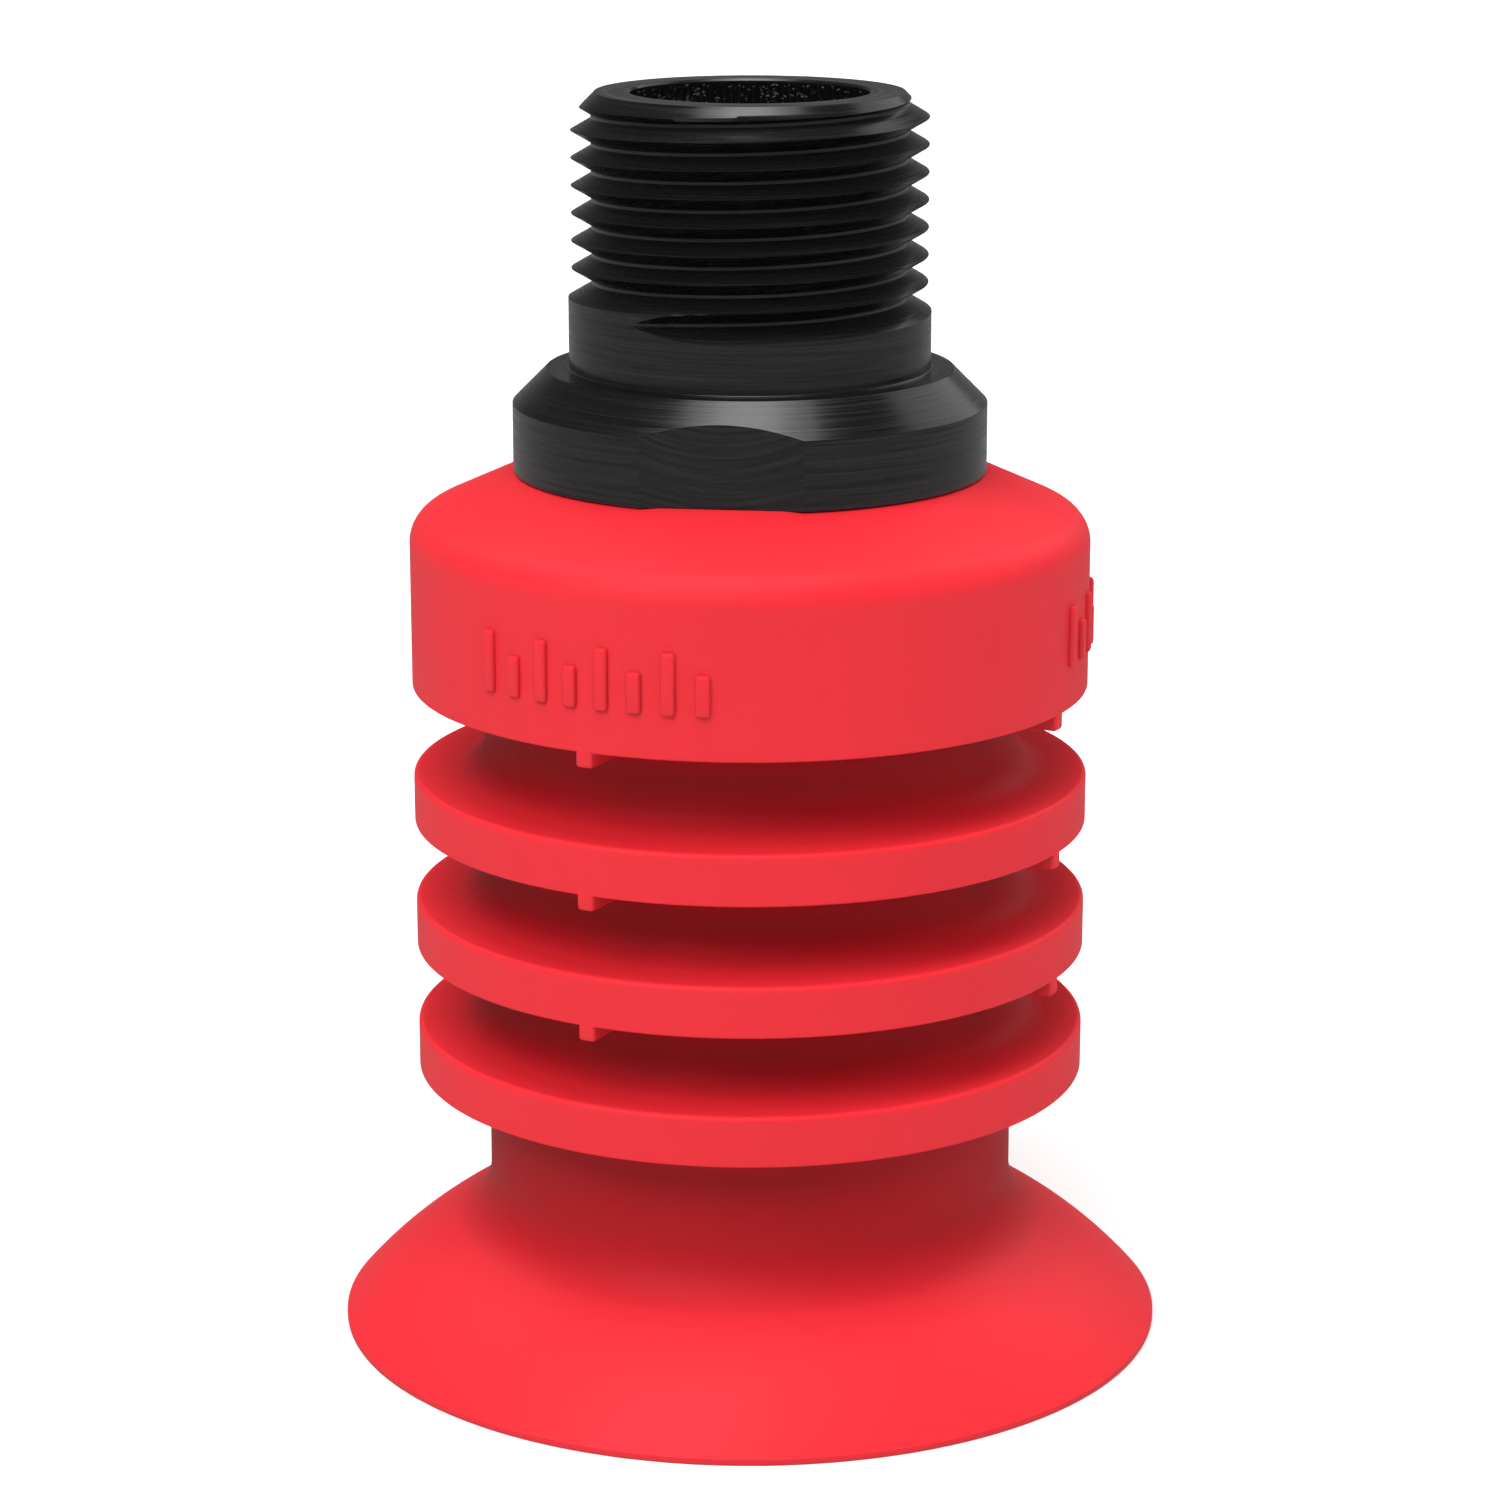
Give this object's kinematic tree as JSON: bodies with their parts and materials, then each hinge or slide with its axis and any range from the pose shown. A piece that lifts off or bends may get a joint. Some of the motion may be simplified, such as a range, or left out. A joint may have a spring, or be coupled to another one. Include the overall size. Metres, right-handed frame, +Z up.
{
  "type": "vacuum suction cup",
  "caption": "Bellows vacuum suction cup in red silicone: flared lip, fold rims with spacer nubs, and a snapped-in black fitting with a male pipe thread and mesh filter.",
  "frame": {"origin": "centre of the circle on which the lip rests", "axes": "+Z up the cup's axis towards the thread; -Y is the side with the longer row of raised bars in view and the wrench flat"},
  "size_m": [0.05, 0.05, 0.0749],
  "materials": {
    "silicone": "matte moulded silicone",
    "anodised_aluminium": "black anodised, fine turned lines",
    "steel_mesh": "dark woven wire",
    "steel_ring": "dark turned"
  },
  "bodies": {
    "head": {"collar": "silicone", "fitting": "anodised_aluminium", "mesh_filter": "steel_mesh", "filter_ring": "steel_ring", "nubs_collar": "silicone", "raised_bars_front": "silicone", "raised_bars_side": "silicone", "web_1": "silicone"},
    "upper_fold": {"fold_1": "silicone", "nubs_fold_1": "silicone", "web_2": "silicone"},
    "middle_fold": {"fold_2": "silicone", "nubs_fold_2": "silicone", "web_3": "silicone"},
    "lower_fold": {"fold_3": "silicone", "neck_web_upper": "silicone"},
    "neck": {"neck_ring": "silicone", "neck_web_lower": "silicone"},
    "lip": {"lip_skirt": "silicone"}
  },
  "joints": [
    {"name": "bellows_upper", "type": "slide", "parent": "head", "child": "upper_fold", "axis": [0, 0, 1], "range_m": [0, 0.00435], "stiffness_N_per_m": 3000, "deforming": ["web_1"]},
    {"name": "bellows_middle", "type": "slide", "parent": "upper_fold", "child": "middle_fold", "axis": [0, 0, 1], "range_m": [0, 0.00375], "stiffness_N_per_m": 3000, "deforming": ["web_2"]},
    {"name": "bellows_lower", "type": "slide", "parent": "middle_fold", "child": "lower_fold", "axis": [0, 0, 1], "range_m": [0, 0.00372], "stiffness_N_per_m": 3000, "deforming": ["web_3"]},
    {"name": "lip_tilt_x", "type": "hinge", "parent": "lower_fold", "child": "neck", "pos_m": [0, 0, 0.013], "axis": [1, 0, 0], "range_deg": [-7, 7], "stiffness_Nm_per_rad": 2, "deforming": ["neck_web_upper"]},
    {"name": "lip_tilt_y", "type": "hinge", "parent": "neck", "child": "lip", "pos_m": [0, 0, 0.013], "axis": [0, 1, 0], "range_deg": [-7, 7], "stiffness_Nm_per_rad": 2, "deforming": ["neck_web_lower"]}
  ],
  "couplings": [
    {"joint": "bellows_middle", "follows": "bellows_upper", "ratio": 0.8616},
    {"joint": "bellows_lower", "follows": "bellows_upper", "ratio": 0.8547}
  ]
}
